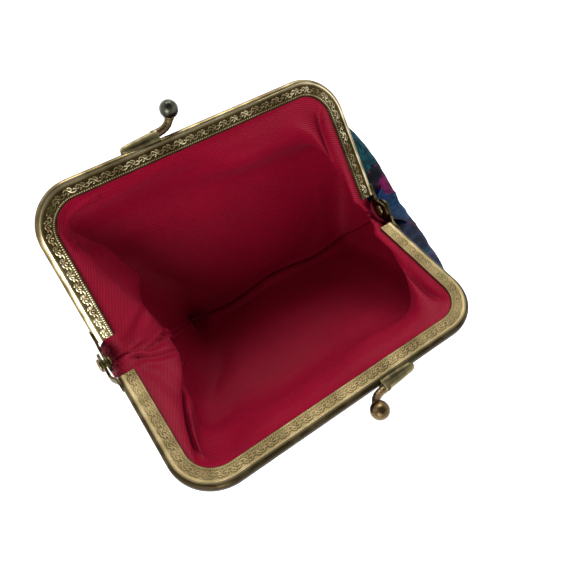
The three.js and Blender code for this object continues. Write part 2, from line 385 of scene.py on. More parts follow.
FRONT_BRASS = brass(
    "front_brass", [(52, 42, 26), (106, 92, 62), (132, 117, 84), (188, 174, 136)], (0.34, 0.52),
)
# Painted light: the rear half is the same brass as the front. Its darker low colours are painted
# shade, and its brighter top colour serves painted highlights as well as wear.
REAR_BRASS = brass(
    "rear_brass_painted_light", [(40, 31, 18), (86, 71, 44), (144, 129, 90), (230, 220, 182)], (0.22, 0.42),
)
EAR_BRASS = brass(
    "ear_brass", [(26, 21, 13), (58, 48, 29), (112, 98, 64), (190, 176, 130)], (0.26, 0.42),
)
CLASP_BRASS = brass(
    "clasp_brass", [(48, 41, 26), (106, 97, 68), (142, 131, 96), (190, 178, 138)], (0.36, 0.56),
    mottle=0.5,
)
STEM_BRONZE = brass(
    "stem_bronze", [(38, 31, 21), (80, 66, 46), (120, 100, 70), (180, 158, 118)], (0.28, 0.46),
    mottle=0.5, toned=False,
)
RIVET_BRASS = brass(
    "rivet_brass", [(46, 38, 24), (92, 78, 48), (140, 122, 80), (206, 190, 144)], (0.25, 0.42),
    mottle=0.5, toned=False,
)


def gunmetal(name, dark, light):
    """Clouded, half polished dark metal."""
    s = Shader(name, Metallic=1.0)
    place = s.node("ShaderNodeTexCoord").outputs["Object"]
    cloud = s.noise(place, 700.0, 5.0, 0.65)
    s.out("Base Color", s.ramp(cloud, (0.35, dark), (0.72, light)))
    s.out("Roughness", s.ramp(s.noise(place, 1800.0), (0.3, 0.20), (0.7, 0.34)))
    s.bump(cloud, 0.2, 0.00005)
    return s.material


BALL_REAR = gunmetal("ball_gunmetal", srgb(36, 37, 34), srgb(92, 90, 78))
BALL_FRONT = gunmetal("ball_bronze", srgb(40, 32, 22), srgb(122, 100, 66))


def twill():
    """Crimson satin twill: fine ribs along the cloth's own Y, with slanting threads in them."""
    rib_width, thread_across, thread_along = 0.52, 0.3, 0.24
    s = Shader(
        "crimson_twill", Metallic=0.0, Sheen_Weight=0.05, Sheen_Roughness=0.45,
        Sheen_Tint=srgb(240, 120, 160), Specular_IOR_Level=0.12,
    )
    place = s.attribute("cloth", "Vector")
    wander = s.noise(s.scaled(place, (0.25, 0.04, 0.25)), 1.0, 2.0)
    across, along = s.axis(place, 0), s.axis(place, 1)
    phase = s.math("MULTIPLY", across, TURN / rib_width)
    rib = s.wave(s.math("MULTIPLY_ADD", wander, 1.1, phase))
    phase = s.math("MULTIPLY", along, TURN / thread_along)
    thread = s.wave(s.math("MULTIPLY_ADD", across, TURN / thread_across, phase))
    fleck = s.noise(s.scaled(place, (3.4, 0.5, 3.4)), 1.0, 3.0)
    broad = s.noise(s.scaled(place, (0.07, 0.05, 0.07)), 1.0, 3.0)
    colour = s.ramp(
        s.math("MULTIPLY_ADD", fleck, 0.35, s.math("MULTIPLY", rib, 0.65)),
        (0.1, srgb(88, 0, 9)), (0.5, srgb(128, 0, 29)), (0.95, srgb(168, 14, 58)),
    )
    shade = s.ramp(broad, (0.3, (0.84, 0.80, 0.84, 1)), (0.7, (1.0, 1.0, 1.0, 1)))
    s.out("Base Color", s.mix(1.0, colour, shade, "MULTIPLY"))
    s.out("Roughness", s.ramp(rib, (0.0, 0.62), (1.0, 0.46)))
    s.bump(s.math("MULTIPLY_ADD", thread, 0.22, rib), 0.4, 0.0001)
    return s.material


def printed_satin():
    """Dark satin with a soft, abstract print of teal, blue, violet and magenta blotches."""
    s = Shader("printed_satin", Metallic=0.0, Sheen_Weight=0.0, Specular_IOR_Level=0.10)
    place = s.attribute("rest", "Vector")
    ground = s.ramp(s.noise(place, 0.09, 3.0), (0.4, srgb(4, 6, 16)), (0.65, srgb(10, 18, 48)))
    # Soft blots all over: their noise's scale and place, what it has to exceed, and their paint.
    for scale, move, low, high, first, second in (
        (0.075, (11, 3, 5), 0.50, 0.60, srgb(0, 36, 52), srgb(4, 66, 82)),
        (0.085, (-7, 19, 2), 0.55, 0.63, srgb(8, 28, 72), srgb(20, 54, 104)),
        (0.08, (31, -4, 17), 0.56, 0.63, srgb(34, 12, 58), srgb(62, 28, 84)),
        (0.095, (5, 41, -23), 0.57, 0.64, srgb(64, 2, 42), srgb(102, 12, 72)),
    ):
        moved = s.scaled(place, (1, 1, 1), move)
        mask = s.ramp(s.noise(moved, scale, 4.0, 0.6, 0.8), (low, 0.0), (high, 1.0))
        paint = s.ramp(s.noise(moved, 0.5, 3.0), (0.35, first), (0.65, second))
        ground = s.mix(mask, ground, paint)
    # The blots on the strip beside the right hinge: their middle, radius and paint.
    ragged = s.noise(place, 0.42, 4.0, 0.65, 0.6)
    for centre, radius, first, second in (
        ((39.0, 15.5, 40.0), 7.5, srgb(0, 34, 44), srgb(2, 70, 80)),
        ((42.5, 9.0, 36.5), 3.2, srgb(3, 4, 10), srgb(8, 14, 30)),
        ((45.6, 5.6, 35.0), 3.0, srgb(72, 2, 46), srgb(112, 8, 76)),
        ((46.0, -1.6, 33.5), 4.6, srgb(4, 32, 64), srgb(12, 58, 92)),
        ((42.5, -11.0, 37.0), 4.6, srgb(4, 10, 28), srgb(12, 28, 58)),
    ):
        away = s.node("ShaderNodeVectorMath", {0: place, 1: centre}, operation="DISTANCE")
        away = s.math("MULTIPLY_ADD", ragged, 9.0, s.math("SUBTRACT", away.outputs["Value"], 4.5))
        mask = s.ramp(s.math("DIVIDE", away, 2 * radius), (0.45, 1.0), (0.52, 0.0))
        paint = s.ramp(s.noise(place, 0.6, 3.0), (0.35, first), (0.65, second))
        ground = s.mix(mask, ground, paint)
    ink = s.ramp(s.noise(place, 0.2, 5.0, 0.7, 1.2), (0.55, 0.0), (0.60, 0.92))
    colour = s.mix(ink, ground, srgb(4, 5, 12))
    s.out("Base Color", colour)
    across = s.axis(s.attribute("cloth", "Vector"), 0)
    threads = s.math("SINE", s.math("MULTIPLY", across, TURN / 0.28))
    s.out("Roughness", s.ramp(s.noise(place, 1.4), (0.3, 0.36), (0.7, 0.5)))
    s.bump(threads, 0.3, 0.00006)
    return s.material


def twine():
    """Twisted brown paper."""
    s = Shader("paper_twine", Roughness=0.9)
    place = s.node("ShaderNodeTexCoord").outputs["Object"]
    fibre = s.noise(s.scaled(place, (900.0, 2600.0, 2600.0)), 1.0, 4.0)
    s.out("Base Color", s.ramp(fibre, (0.3, srgb(128, 104, 70)), (0.7, srgb(196, 174, 132))))
    s.bump(fibre, 0.5, 0.0001)
    return s.material


TWILL = twill()
PRINT = printed_satin()
TWINE = twine()

# ---- camera, light and floor ----

def camera():
    """The photograph's viewpoint: above the left hinge, with the camera rolled to one side."""
    data = bpy.data.cameras.new("camera")
    data.sensor_width = 36
    data.lens = 33.84
    data.clip_start = 0.005
    obj = linked("camera", data)
    right = Vector((0.8196, -0.5277, 0.2231))
    up = Vector((0.4741, 0.8433, 0.2531))
    back = right.cross(up)
    turn = Matrix((right, up, back)).transposed().to_4x4()
    obj.matrix_world = Matrix.Translation((-0.03575, -0.01915, 0.1584)) @ turn
    bpy.context.scene.camera = obj


def area_light(name, place, target, size, watts):
    data = bpy.data.lights.new(name, "AREA")
    data.shape = "RECTANGLE"
    data.size, data.size_y = size
    data.energy = watts
    obj = linked(name, data)
    obj.location = place
    obj.rotation_euler = (Vector(target) - Vector(place)).to_track_quat("-Z", "Y").to_euler()


def studio():
    """A glowing pale floor, a sky that is brighter low down than overhead, and two soft lights."""
    world = bpy.data.worlds.new("studio")
    world.use_nodes = True
    nodes, links = world.node_tree.nodes, world.node_tree.links
    backdrop = nodes["Background"]
    place = nodes.new("ShaderNodeTexCoord")
    split = nodes.new("ShaderNodeSeparateXYZ")
    ramp = nodes.new("ShaderNodeValToRGB")
    links.new(place.outputs["Generated"], split.inputs[0])
    links.new(split.outputs[2], ramp.inputs[0])
    links.new(ramp.outputs[0], backdrop.inputs[0])
    low, high = ramp.color_ramp.elements
    low.position, low.color = 0.52, (1.0, 1.0, 1.0, 1.0)
    high.position, high.color = 0.86, (0.13, 0.13, 0.14, 1.0)
    backdrop.inputs[1].default_value = 1.5
    bpy.context.scene.world = world
    middle = (0.0, 0.0, 0.03)
    area_light("key", (0.14, 0.44, 0.36), middle, size=(0.40, 0.20), watts=2.1)
    area_light("fill", (-0.40, -0.30, 0.34), middle, size=(0.30, 0.30), watts=2.4)
    floor = Shader("floor_paper", Roughness=0.9)
    floor.out("Emission Color", (1.0, 1.0, 1.0, 1.0))
    floor.out("Emission Strength", 0.5)
    place = floor.node("ShaderNodeTexCoord").outputs["Object"]
    grain = floor.noise(place, 900.0, 3.0)
    floor.out("Base Color", floor.ramp(grain, (0.3, 0.90), (0.7, 0.93)))
    mesh = bpy.data.meshes.new("floor")
    corners = [(x, y, 0) for x, y in ((-1.5, -1.5), (1.5, -1.5), (1.5, 1.5), (-1.5, 1.5))]
    mesh.from_pydata(corners, [], [(0, 1, 2, 3)])
    mesh.materials.append(floor.material)
    obj = linked("floor", mesh)
    obj.location.z = -0.0002


camera()
studio()
bpy.context.scene.view_settings.view_transform = "Standard"

# ---- the frame halves ----

def inner_edge(spacing):
    """Columns round a half's U, left arm to right arm: place, outward direction and length so far,
    and the lengths at its corners. The length is counted along the middle of the scroll, so that
    the scroll keeps its pitch."""
    track = CORNER + 1.95
    arm, bend, bar = RISE - ARM_START, track * math.pi / 2, 2 * REACH
    total = 2 * arm + 2 * bend + bar
    s = np.linspace(0, total, int(total / spacing) + 1)
    places = []
    for d in s:
        # Measured from the nearer arm's foot, and mirrored for the right half.
        hand, far = (-1, d) if d < total / 2 else (1, total - d)
        turned = min(max(far - arm, 0.0) / track, math.pi / 2)
        x = hand * (REACH + CORNER * math.cos(turned) - max(far - arm - bend, 0.0))
        z = ARM_START + min(far, arm) + CORNER * math.sin(turned)
        places.append((x, z, math.pi - turned if hand < 0 else turned))
    x, z, out = np.array(places).T
    corners = (arm + bend / 2, total - arm - bend / 2)
    return x, z, out, s, corners


# One period of the running scroll, as strokes of (along the band, out from its lip).
PERIOD = 2.75
SCROLL = [
    [(0.84, 1.60), (0.62, 1.42), (0.36, 1.58), (0.40, 1.92), (0.82, 2.10), (1.32, 1.88),
     (1.62, 1.48), (2.00, 1.14), (2.46, 1.06), (2.90, 1.30), (2.86, 1.62), (2.58, 1.66)],
    [(1.52, 2.20), (1.96, 2.02), (2.14, 1.74), (1.90, 1.54), (1.70, 1.72)],
    [(0.98, 1.06), (1.24, 1.22), (1.16, 1.44)],
]


def scroll_distance(s, r):
    """How far each (s, r) lies from the nearest stroke of the running scroll."""
    best = np.full(s.shape, 9.0)
    tile = np.mod(s, PERIOD)
    for stroke in SCROLL:
        stroke = np.array(stroke)
        t = np.arange(len(stroke))
        line = curve(np.linspace(0, len(stroke) - 1, 6 * len(stroke)), t, stroke)
        for a, b in zip(line[:-1], line[1:]):
            d = b - a
            for shift in (-PERIOD, 0.0, PERIOD):
                px, py = tile - a[0] - shift, r - a[1]
                t = np.clip((px * d[0] + py * d[1]) / (d @ d), 0, 1)
                best = np.minimum(best, np.hypot(px - t * d[0], py - t * d[1]))
    return best


# The pattern's rows, by how far out from the lip.
BEAD_ROW, BEAD_PITCH = 0.52, 0.5
LINE_ROW, BORDER_ROW, CROWN_ROW = 0.86, 2.86, 3.02
# Beyond the pattern the metal is plain, and its outer edge is darkened: a painted shade.
PLAIN_ROW, EDGE_ROW = 3.15, 3.84

# How deep each half's pattern is pressed, and the tones of what shows on its flanges. The halves
# are the same brass: the rear's low flat tone is painted shade, its bright strokes are partly wear
# and partly painted highlight, the front's very low plain tone is painted shade on its outer band,
# and the ridge tone is a painted highlight.
LOOKS = {
    FRONT: {"relief": 0.22, "flat": 0.46, "stroke": 0.04, "bead": 0.06, "groove": -0.38,
            "gap": -0.36, "line": 0.04, "plain": 0.02, "crown_highlight": 0.34},
    REAR: {"relief": 0.9, "flat": 0.20, "stroke": 0.68, "bead": 0.56, "groove": -0.14,
           "gap": -0.12, "line": 0.12, "plain": 0.50, "crown_highlight": 0.70},
}


def embossing(s, r, corners):
    """How strongly each part of the pattern shows at each place of a flange."""
    fade = np.ones_like(s)
    for corner in corners:
        fade *= 1 - 0.35 * bell(s, corner, 4.5)
    patchy = patches(s, r, 1.3, seed=3)
    far = scroll_distance(s, r)
    bead = np.hypot(np.mod(s, BEAD_PITCH) - BEAD_PITCH / 2, r - BEAD_ROW)
    beads = smooth((0.25 - bead) / 0.16)
    return {
        "stroke": smooth((0.17 - far) / 0.13) * fade * (1 + 0.5 * patchy),
        "groove": bell(far, 0.22, 0.08) * fade * (1 + 0.3 * patchy),
        "bead": beads,
        "gap": smooth((0.24 - np.abs(r - BEAD_ROW)) / 0.1) * (1 - beads),
        "line": smooth((0.08 - np.abs(r - LINE_ROW)) / 0.06),
    }


def channel_profile(fine):
    """The folded channel's outline, as (r, n, which face): near flange out, round the ridge, back
    along the far flange, and home along the inside. Faces: 0 near, 1 ridge, 2 far, 3 inside."""
    bend, inside, lip = BAND - RIDGE, RIDGE - SHEET, 0.2
    rows = []

    def arc(r, n, radius, start, end, count, face):
        """Turns from start to end, in quarter turns."""
        for a in np.linspace(start, end, count) * math.pi / 2:
            rows.append((r + radius * math.cos(a), n + radius * math.sin(a), face))

    def flat(places, n, face):
        rows.extend((r, n, face) for r in places)

    arc(lip, NEAR + lip, lip, 2, 3, 4, 0)
    flat(np.arange(lip + fine, bend - 0.02, fine), NEAR, 0)
    arc(bend, NEAR + RIDGE, RIDGE, -1, 0, 7, 1)
    arc(bend, FAR - RIDGE, RIDGE, 0, 1, 7, 1)
    flat(np.arange(bend - 0.12, lip, -0.12), FAR, 2)
    arc(lip, FAR - lip, lip, 1, 2, 4, 2)
    flat([0.06], FAR - SHEET + 0.02, 3)
    flat([0.4, 1.2, 2.1, bend], FAR - SHEET, 3)
    for a in np.linspace(math.pi / 2 - 0.5, -math.pi / 2 + 0.5, 5):
        n = MIDDLE + math.copysign(FAR - RIDGE - MIDDLE, math.sin(a)) + inside * math.sin(a)
        rows.append((bend + inside * math.cos(a), n, 3))
    flat([bend, 2.1, 1.2, 0.4], NEAR + SHEET, 3)
    flat([0.06], NEAR + SHEET - 0.02, 3)
    return np.array(rows)


def frame_half(name, side, material):
    """A half's folded channel, with its pattern pressed in, and its patina and wear as the tone,
    along with painted shade and painted highlights.
    """
    look = LOOKS[side]
    profile = channel_profile(fine=0.085)
    x, z, out, s, corners = inner_edge(spacing=0.135)
    r, n, face = profile.T
    grid_r = np.repeat(r[None], len(s), 0)
    grid_s = np.repeat(s[:, None], len(r), 1)
    pressed = embossing(grid_s, grid_r, corners)
    height = (0.10 * pressed["stroke"] + 0.10 * pressed["bead"] + 0.03 * pressed["line"]
              - 0.035 * pressed["groove"] - 0.03 * pressed["gap"]) * look["relief"]
    height += 0.10 * bell(grid_r, BORDER_ROW, 0.2)
    flange = np.isin(face, (0, 2))[None] & (grid_r > 0.21)
    facing = np.where(face == 2, 1.0, -1.0)[None]
    wear = patches(grid_s, n[None], 2.2, seed=9)
    dents = 0.02 * patches(grid_s, grid_r, 3.5, seed=5)
    grid_n = n[None] + facing * np.where(flange, height, 0.0) + np.where(face == 1, 0, dents)

    # The rear's lower flat tone and brighter strokes are painted light on the same brass as the
    # front.
    tone = look["flat"] + sum(look[key] * share for key, share in pressed.items())
    if side == REAR:
        # The tone is raised along the left arm and at the right corner.
        tone += 0.26 * smooth((26.0 - grid_s) / 10.0) + 0.30 * bell(grid_s, corners[1] + 3, 5.0)
    # Painted shade: darker along the inner lip, where the brass meets the cloth.
    tone -= 0.6 * smooth((0.26 - grid_r) / 0.15) * (face != 3)
    # Past the pattern the tone is the half's plain one; the front's is very low, a painted shade on
    # the outer band.
    plain = smooth((grid_r - PLAIN_ROW) / 0.12)
    tone = mixed(tone, look["plain"] + 0.10 * wear, plain)
    # Painted highlight: a light band along the ridge.
    tone += look["crown_highlight"] * bell(grid_r, CROWN_ROW, 0.25) * (face < 3)
    # Painted shade: darker round the outer edge of the ridge.
    tone -= 0.4 * smooth((grid_r - EDGE_ROW) / 0.12) * (face == 1)
    tone = np.where(face[None] == 3, 0.15, tone + 0.10 * wear)
    across = np.stack([np.cos(out), np.sin(out)], -1)[:, None] * grid_r[..., None]
    points = np.stack([x[:, None] + across[..., 0], grid_n, z[:, None] + across[..., 1]], -1)
    rings, sides = points.shape[:2]
    obj = new_object(name, placed(points, side), tube_faces(rings, sides), material)
    set_attribute(obj, "tone", tone.ravel())
    return obj


# ---- hinges ----

def ear(name, inner_x, side, material):
    """Both of a half's hinge ears: pierced, rounded plates that step in to the arm ends."""
    curve_data = bpy.data.curves.new(name, "CURVE")
    curve_data.dimensions = "2D"
    curve_data.fill_mode = "BOTH"
    bevel = 0.1
    curve_data.extrude = (EAR_THICKNESS / 2 - bevel) * MM
    curve_data.bevel_depth = bevel * MM
    curve_data.bevel_resolution = 2
    radius, hole_radius = EAR_RADIUS - bevel, 1.1
    outline = [(radius * math.cos(a), radius * math.sin(a))
               for a in np.linspace(math.radians(158), math.radians(372), 34)]
    outline += [(2.5, 1.4), (2.5, 3.0), (2.5, 5.0), (2.45, 6.6), (2.2, 7.0), (1.4, 7.15),
                (0.6, 7.0), (0.35, 6.6), (0.3, 5.0), (0.3, 3.2), (0.1, 2.5), (-0.7, 2.05),
                (-1.6, 1.6)]
    hole = [(hole_radius * math.cos(a), hole_radius * math.sin(a))
            for a in np.linspace(0, TURN, 29)[:-1]]
    for ring in (outline, hole):
        spline = curve_data.splines.new("POLY")
        spline.points.add(len(ring) - 1)
        for point, (y, z) in zip(spline.points, ring):
            point.co = (y * MM, z * MM, 0, 1)
        spline.use_cyclic_u = True
    source = linked(name + "_outline", curve_data)
    plate = evaluated(source)
    bpy.data.objects.remove(source)
    bm = bmesh.new()
    bm.from_mesh(plate)
    bmesh.ops.remove_doubles(bm, verts=bm.verts, dist=1e-7)
    # Cuts across the plate let it step sideways between the disc and the arm.
    for height in np.linspace(2.9, 5.3, 9):
        geometry = bm.verts[:] + bm.edges[:] + bm.faces[:]
        bmesh.ops.bisect_plane(bm, geom=geometry, plane_co=(0, height * MM, 0), plane_no=(0, 1, 0))
    bmesh.ops.triangulate(bm, faces=[f for f in bm.faces if len(f.verts) > 4])
    local, faces = taken(bm)
    local = local / MM
    arm_side = HALF_WIDTH + BAND - 0.02
    step = (arm_side - inner_x - EAR_THICKNESS / 2) * smooth((local[:, 1] - 3.0) / 2.2)
    points, all_faces = [], []
    for pair, hand in enumerate((-1, 1)):
        x = hand * (inner_x + EAR_THICKNESS / 2 + local[:, 2] * hand + step)
        points.append(np.stack([x, local[:, 0], local[:, 1]], -1))
        all_faces += [[pair * len(local) + k for k in f] for f in faces]
    points = np.vstack(points)
    obj = new_object(name, placed(points, side), all_faces, material)
    rim = np.hypot(points[:, 1], points[:, 2]) - 1.9
    set_attribute(obj, "tone", 0.12 + 0.3 * smooth(rim / 0.6))
    return obj


def rivet(name, hand):
    """A pin with a low inner head and a peened dome outside."""
    profile = [(0.0, 36.60), (0.7, 36.60), (1.12, 36.66), (1.32, 36.80), (1.4, 36.98), (1.4, 37.14),
               (1.32, 37.22), (0.92, 37.24), (0.9, 37.5), (0.9, 38.6), (0.92, 38.88), (1.45, 38.9),
               (1.58, 38.98), (1.6, 39.12), (1.5, 39.3), (1.28, 39.43), (0.95, 39.52),
               (0.5, 39.58), (0.0, 39.6)]
    sides = 44
    angles = np.arange(sides) * TURN / sides
    points = [(profile[0][1], 0.0, 0.0)]
    for radius, x in profile[1:-1]:
        for a in angles:
            points.append((x, radius * math.cos(a), radius * math.sin(a)))
    points.append((profile[-1][1], 0.0, 0.0))
    points = np.array(points)
    rings = len(profile) - 2
    faces = [[f + 1 for f in quad] for quad in grid_faces(rings, sides, wrap_cols=True)]
    last = len(points) - 1
    for k in range(sides):
        nxt = (k + 1) % sides
        faces.append([0, 1 + nxt, 1 + k])
        faces.append([last, 1 + (rings - 1) * sides + k, 1 + (rings - 1) * sides + nxt])
    domed = smooth((points[:, 0] - 39.0) / 0.3)
    points[:, 0] += 0.035 * domed * value_noise(points, 0.7, seed=21)
    points[:, 0] *= hand
    points[:, 2] += HINGE_Z
    return new_object(name, points, faces, RIVET_BRASS)


# ---- the clasp ----

def clasp_sleeve(name, side):
    """A strip folded over into a tapered sleeve: round nose, open wide end, feet on the ridge."""
    foot = RIDGE_TOP + 0.04
    nose, mouth = -15.0, -6.3
    arch = np.linspace(0, math.pi, 23)
    hand = np.sign(np.cos(arch))
    base = np.linspace(-1, 1, 9)[1:-1]
    rings, tones = [], []

    def ring(x, half, height, skirt, inset=0.0):
        """An outline by half its width, its height, how far its feet spread, and how far in it is
        from the outer surface."""
        half, height = half - inset, height - inset
        y = half * hand * np.abs(np.cos(arch)) ** 0.85
        z = height * np.sin(arch) ** 0.8
        y = np.concatenate([y + hand * skirt * bell(z, 0, 0.28), base * (half + skirt) * 0.98])
        z = np.concatenate([z, 0 * base + 0.9 * inset])
        # The feet come down on to the rounded ridge.
        past = np.clip(np.abs(y) - 0.3, 0, 0.8)
        z = z - (RIDGE - np.sqrt(RIDGE ** 2 - past ** 2)) * bell(z, 0, 0.7)
        rings.append(np.stack([np.full(len(y), x), MIDDLE + y, foot + z], -1))
        # Painted highlight: the tone rises towards the top of the sleeve.
        tones.append(0.42 + 0.16 * smooth((z / max(height, 0.01) - 0.4) / 0.5))

    for t in (0.0, 0.2, 8 / 15, 1.0):
        scale = math.sqrt(max(0.02, 1 - (1 - t) ** 2)) * 0.98 + 0.02
        ring(nose + 0.84 * t, 0.85 * scale, 1.3 * scale, 0.02)
    for x in np.linspace(-13.9, mouth - 0.12, 30):
        share = (x - nose) / (mouth - nose)
        wave = 1 + 0.02 * math.sin(x * 2.1)
        ring(x, (0.85 + 0.4 * share) * wave, 1.3 + 0.65 * share, 0.16)
    ring(mouth - 0.04, 1.26, 1.98, 0.14)
    ring(mouth, 1.24, 1.94, 0.1, 0.03)
    ring(mouth, 1.24, 1.94, 0.0, 0.2)
    ring(mouth - 0.12, 1.24, 1.92, 0.0, 0.24)
    ring(-7.6, 1.2, 1.86, 0.0, 0.3)
    points, tones = np.vstack(rings), np.concatenate(tones)
    hollow = np.arange(len(tones)) >= (len(rings) - 2) * len(rings[0])
    tones[hollow] = 0.05
    tones += 0.22 * value_noise(points, 0.9, seed=77) - 0.1
    tones -= 0.35 * bell(points[:, 2], foot + 0.42, 0.12)
    tones += 0.25 * smooth((points[:, 0] + 6.8) / 0.5) * ~hollow
    obj = new_object(name, placed(points, side), tube_faces(len(rings), len(rings[0])),
                     CLASP_BRASS)
    set_attribute(obj, "tone", tones)
    return obj


def tube(path, radii, sides, lobes=0, depth=0.0, twist=0.0):
    """Rings of points round a path of points, turning with it. The lobes are strands that twist."""
    path = np.asarray(path, float)
    ahead = np.gradient(path, axis=0)
    ahead /= np.linalg.norm(ahead, axis=1)[:, None]
    seed = np.array([0.0, 1.0, 0.0]) if abs(ahead[0][1]) < 0.9 else np.array([1.0, 0.0, 0.0])
    across = np.cross(ahead[0], seed)
    angles = np.arange(sides) * TURN / sides
    rings = []
    for p, t, r, d in zip(path, ahead, radii, lengths(path)):
        across = across - t * (across @ t)
        across /= np.linalg.norm(across)
        other = np.cross(t, across)
        radius = r * (1 + depth * (np.abs(np.cos(lobes * (angles - twist * d) / 2)) - 1))
        round_it = np.outer(np.cos(angles), across) + np.outer(np.sin(angles), other)
        rings.append(p + radius[:, None] * round_it)
    return np.vstack(rings), len(rings)


def clasp_stem(name, side):
    """The bronze wire from inside the sleeve, bending up to the ball, with its brazed collar."""
    root = np.array([-7.4, MIDDLE, RIDGE_TOP + 1.12])
    mouth = np.array([-6.15, MIDDLE, RIDGE_TOP + 1.15])
    bend = np.array([-3.3, 1.25, RIDGE_TOP + 1.3])
    tip = BALL_CENTRE - (BALL_CENTRE - bend) / np.linalg.norm(BALL_CENTRE - bend) * 1.6
    t = np.linspace(0, 1, 30)[:, None]
    arc = (1 - t) ** 2 * mouth + 2 * t * (1 - t) * bend + t * t * tip
    path = np.vstack([root + (mouth - root) * u for u in np.linspace(0, 1, 6)[:-1]] + [arc])
    share = np.linspace(0, 1, len(path))
    radii = 0.93 - 0.05 * smooth(share * 3) + 0.20 * smooth((share - 0.86) / 0.1)
    radii += 0.02 * np.sin(share * 40)
    sides = 28
    points, rings = tube(path, radii, sides)
    return new_object(name, placed(points, side), tube_faces(rings, sides), STEM_BRONZE)


def clasp_ball(name, side, material):
    """A cast ball, a little flattened where it has rubbed on its twin."""
    bm = bmesh.new()
    bmesh.ops.create_icosphere(bm, subdivisions=5, radius=1.0)
    unit, faces = taken(bm)
    radius = BALL_RADIUS * (1 + 0.006 * value_noise(unit, 0.5, seed=31))
    rub = smooth((unit @ np.array([0.0, -0.5, 0.866]) - 0.93) / 0.05)
    points = BALL_CENTRE + unit * (radius - 0.03 * rub)[:, None]
    return new_object(name, placed(points, side), faces, material)


def packing_cord(name, side):
    """The twisted paper twine that wedges the cloth into the channel."""
    x, z, out, s, _ = inner_edge(spacing=0.42)
    keep = (s > 0.6) & (s < s[-1] - 0.6)
    depth = 2.0
    path = np.stack([x + depth * np.cos(out), MIDDLE + 0 * x, z + depth * np.sin(out)], -1)[keep]
    sides = 18
    points, rings = tube(path, np.full(len(path), 0.5), sides, lobes=3, depth=0.3, twist=1.5)
    return new_object(name, placed(points, side), tube_faces(rings, sides), TWINE)


# ---- the cloth ----

def on_plane(side, u, v, n):
    """A point of a half's frame plane: u along the hinge, v out from it, n below the plane."""
    u, v, n = np.broadcast_arrays(np.asarray(u, float), v, n)
    y = side * (v * math.sin(OPEN) + n * math.cos(OPEN))
    return np.stack([u, y, v * math.cos(OPEN) - n * math.sin(OPEN)], -1)


CREASE_Y, CREASE_Z = 3.5, -33.5
LIP = 0.85
IN_CHANNEL = 1.8

# The lining's sides, by height: where its left and right walls are.
LINING_SIDES = np.array([
    (-33.5, -15.0, 42.0), (-31.5, -17.2, 43.4), (-26.0, -21.3, 45.4), (-18.0, -25.5, 46.8),
    (-9.0, -28.5, 46.4), (-3.0, -31.0, 44.0), (3.0, -32.6, 39.5), (8.0, -33.2, 35.8),
    (13.0, -33.5, 33.5),
])
# How far out each height of the broad face lies, from 0 at the crease to 1 at the bar.
LINING_BULGE = np.array([
    (-33.5, 0.0), (-30.0, 0.125), (-25.0, 0.295), (-19.0, 0.49), (-12.0, 0.70), (-5.0, 0.875),
    (2.0, 0.965), (8.0, 0.995), (13.0, 1.0),
])
BOTTOM = -38.0

# The bag's outside, the same as the CAD model's: height, left, right, front, rear, squareness.
BAG_OUTLINES = np.array([
    (0.0, -14.0, 38.0, -6.0, 5.0, 3.0), (5.0, -17.0, 42.5, -10.5, 11.0, 3.0),
    (12.0, -22.0, 46.0, -17.5, 18.5, 3.2), (20.0, -27.5, 48.0, -23.5, 24.5, 3.6),
    (29.0, -33.0, 48.0, -28.5, 29.0, 4.2), (37.0, -36.0, 45.0, -31.3, 31.3, 5.0),
    (44.0, -37.0, 40.0, -32.3, 32.3, 6.0), (52.0, -37.0, 37.5, -32.5, 32.5, 6.0),
])
SEAM_BASE_Y = 3.65


def read_table(table, x):
    """The columns of a table, read at x on the smooth curve through its first column."""
    return curve(x, table[:, 0], table[:, 1:]).T


def main_wall(side, v, u):
    """The broad face of a lining panel: v falls from TOP at the bar to BOTTOM at the crease."""
    lip = on_plane(side, 0.0, TOP, LIP)
    z = np.linspace(CREASE_Z, lip[2], 90)
    y = mixed(CREASE_Y, lip[1], read_table(LINING_BULGE, z)[0])
    run = lengths(np.stack([y, z], -1))
    down = (v - BOTTOM) / (TOP - BOTTOM) * run[-1]
    z, y = np.interp(down, run, z), np.interp(down, run, y)
    left, right = read_table(LINING_SIDES, z)
    return np.stack([mixed(left, right, (u + HALF_WIDTH) / (2 * HALF_WIDTH)), y, z], -1)


# The seams below the hinges, by how far down the cloth.
LEFT_SEAM = np.array([
    (0.0, -33.9, 0.0, -1.1), (-5.0, -29.0, 0.0, -2.4), (-9.5, -24.6, 0.0, -3.9),
    (-12.0, -23.2, 0.0, -6.0), (-18.0, -22.4, 0.5, -12.0), (-25.0, -20.6, 1.5, -19.5),
    (-32.0, -17.6, 2.8, -27.3), (-38.0, -15.0, 3.5, -33.5),
])
RIGHT_SEAM = np.array([
    (0.0, 34.2, 0.0, -1.3), (-4.0, 36.6, 0.0, -3.9), (-8.0, 40.4, 0.0, -6.3),
    (-13.0, 44.4, 0.3, -10.0), (-19.0, 46.2, 1.0, -15.8), (-25.0, 46.2, 1.9, -21.6),
    (-32.0, 44.6, 2.9, -28.4), (-38.0, 42.0, 3.5, -33.5),
])
